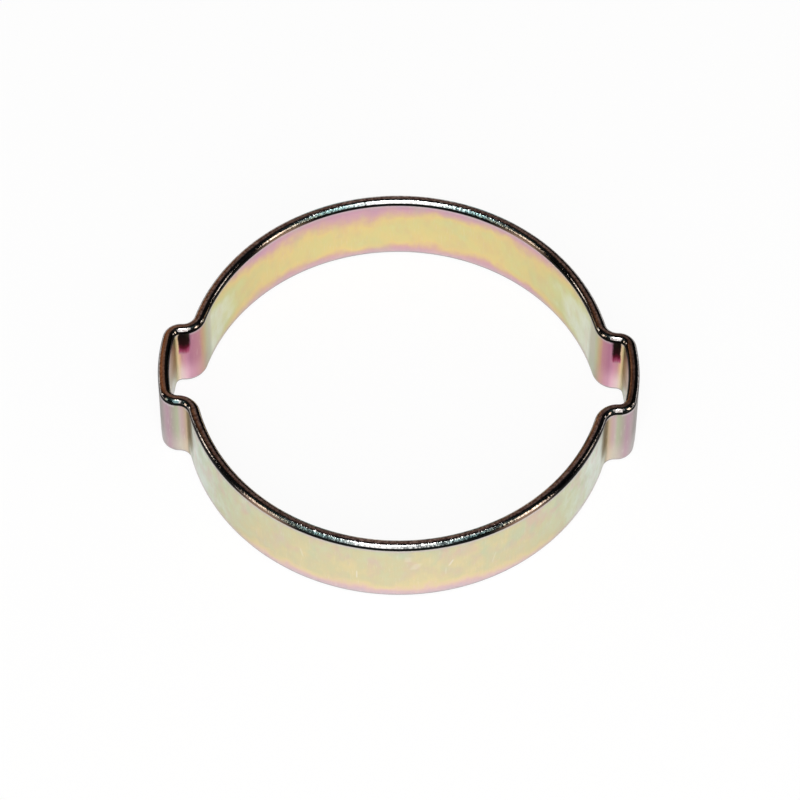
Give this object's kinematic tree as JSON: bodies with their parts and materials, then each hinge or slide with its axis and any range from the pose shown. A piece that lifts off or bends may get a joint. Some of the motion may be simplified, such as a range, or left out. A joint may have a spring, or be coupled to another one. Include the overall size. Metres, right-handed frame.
{
  "type": "two-ear hose clamp",
  "caption": "Closed ring of plated band steel with a folded ear on each side, pinched with pincers to grip a hose on its fitting.",
  "frame": {"origin": "on the axis of the ring, in the plane of the rim it lies on", "axes": "+Z along the axis of the ring, away from the rim it lies on; +X from the axis through one ear; +Y across the ears"},
  "size_m": [0.0508, 0.0454, 0.0095],
  "materials": {
    "plated_steel": "yellow passivated zinc plate, smooth and slightly iridescent"
  },
  "bodies": {
    "root": {"clamp_band": "plated_steel"}
  },
  "joints": []
}
